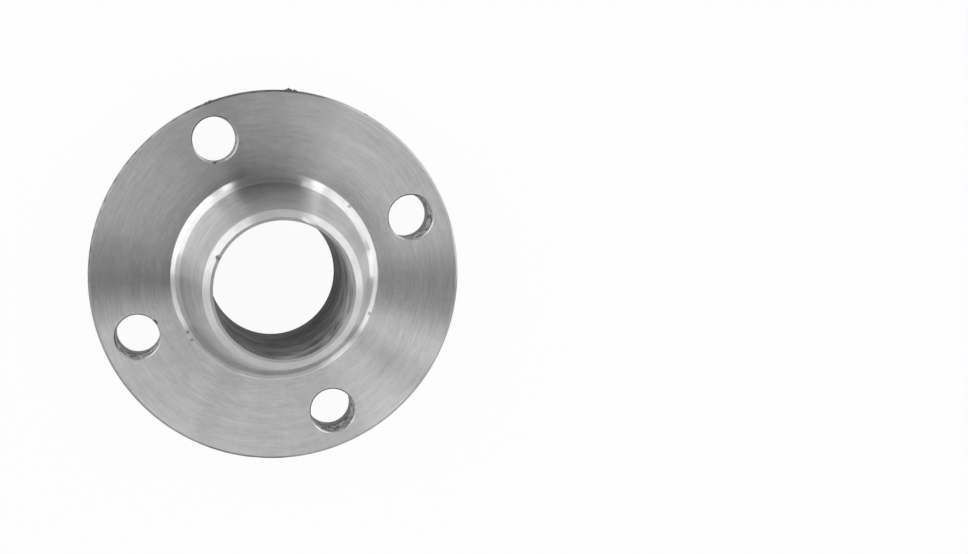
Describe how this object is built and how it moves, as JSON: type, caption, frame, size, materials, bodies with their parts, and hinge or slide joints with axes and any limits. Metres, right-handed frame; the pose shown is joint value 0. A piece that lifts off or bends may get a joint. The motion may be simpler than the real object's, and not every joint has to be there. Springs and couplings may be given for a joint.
{
  "type": "tongue and groove pipe flange",
  "caption": "Turned steel welding-neck pipe flange with a raised tongue face, a ring of bolt holes and a tapered neck bevelled for butt welding.",
  "frame": {"origin": "on the bore's axis, at the level of the tongue's end face, which the flange rests on", "axes": "+Z runs along the bore from the tongue to the weld end; the bolt holes straddle X and Y"},
  "size_m": [0.15, 0.15, 0.0703],
  "materials": {
    "turned_steel": "lathe-turned steel with fine concentric tool marks, drilled holes a little darker"
  },
  "bodies": {
    "root": {"tongue_flange": "turned_steel"}
  },
  "joints": []
}
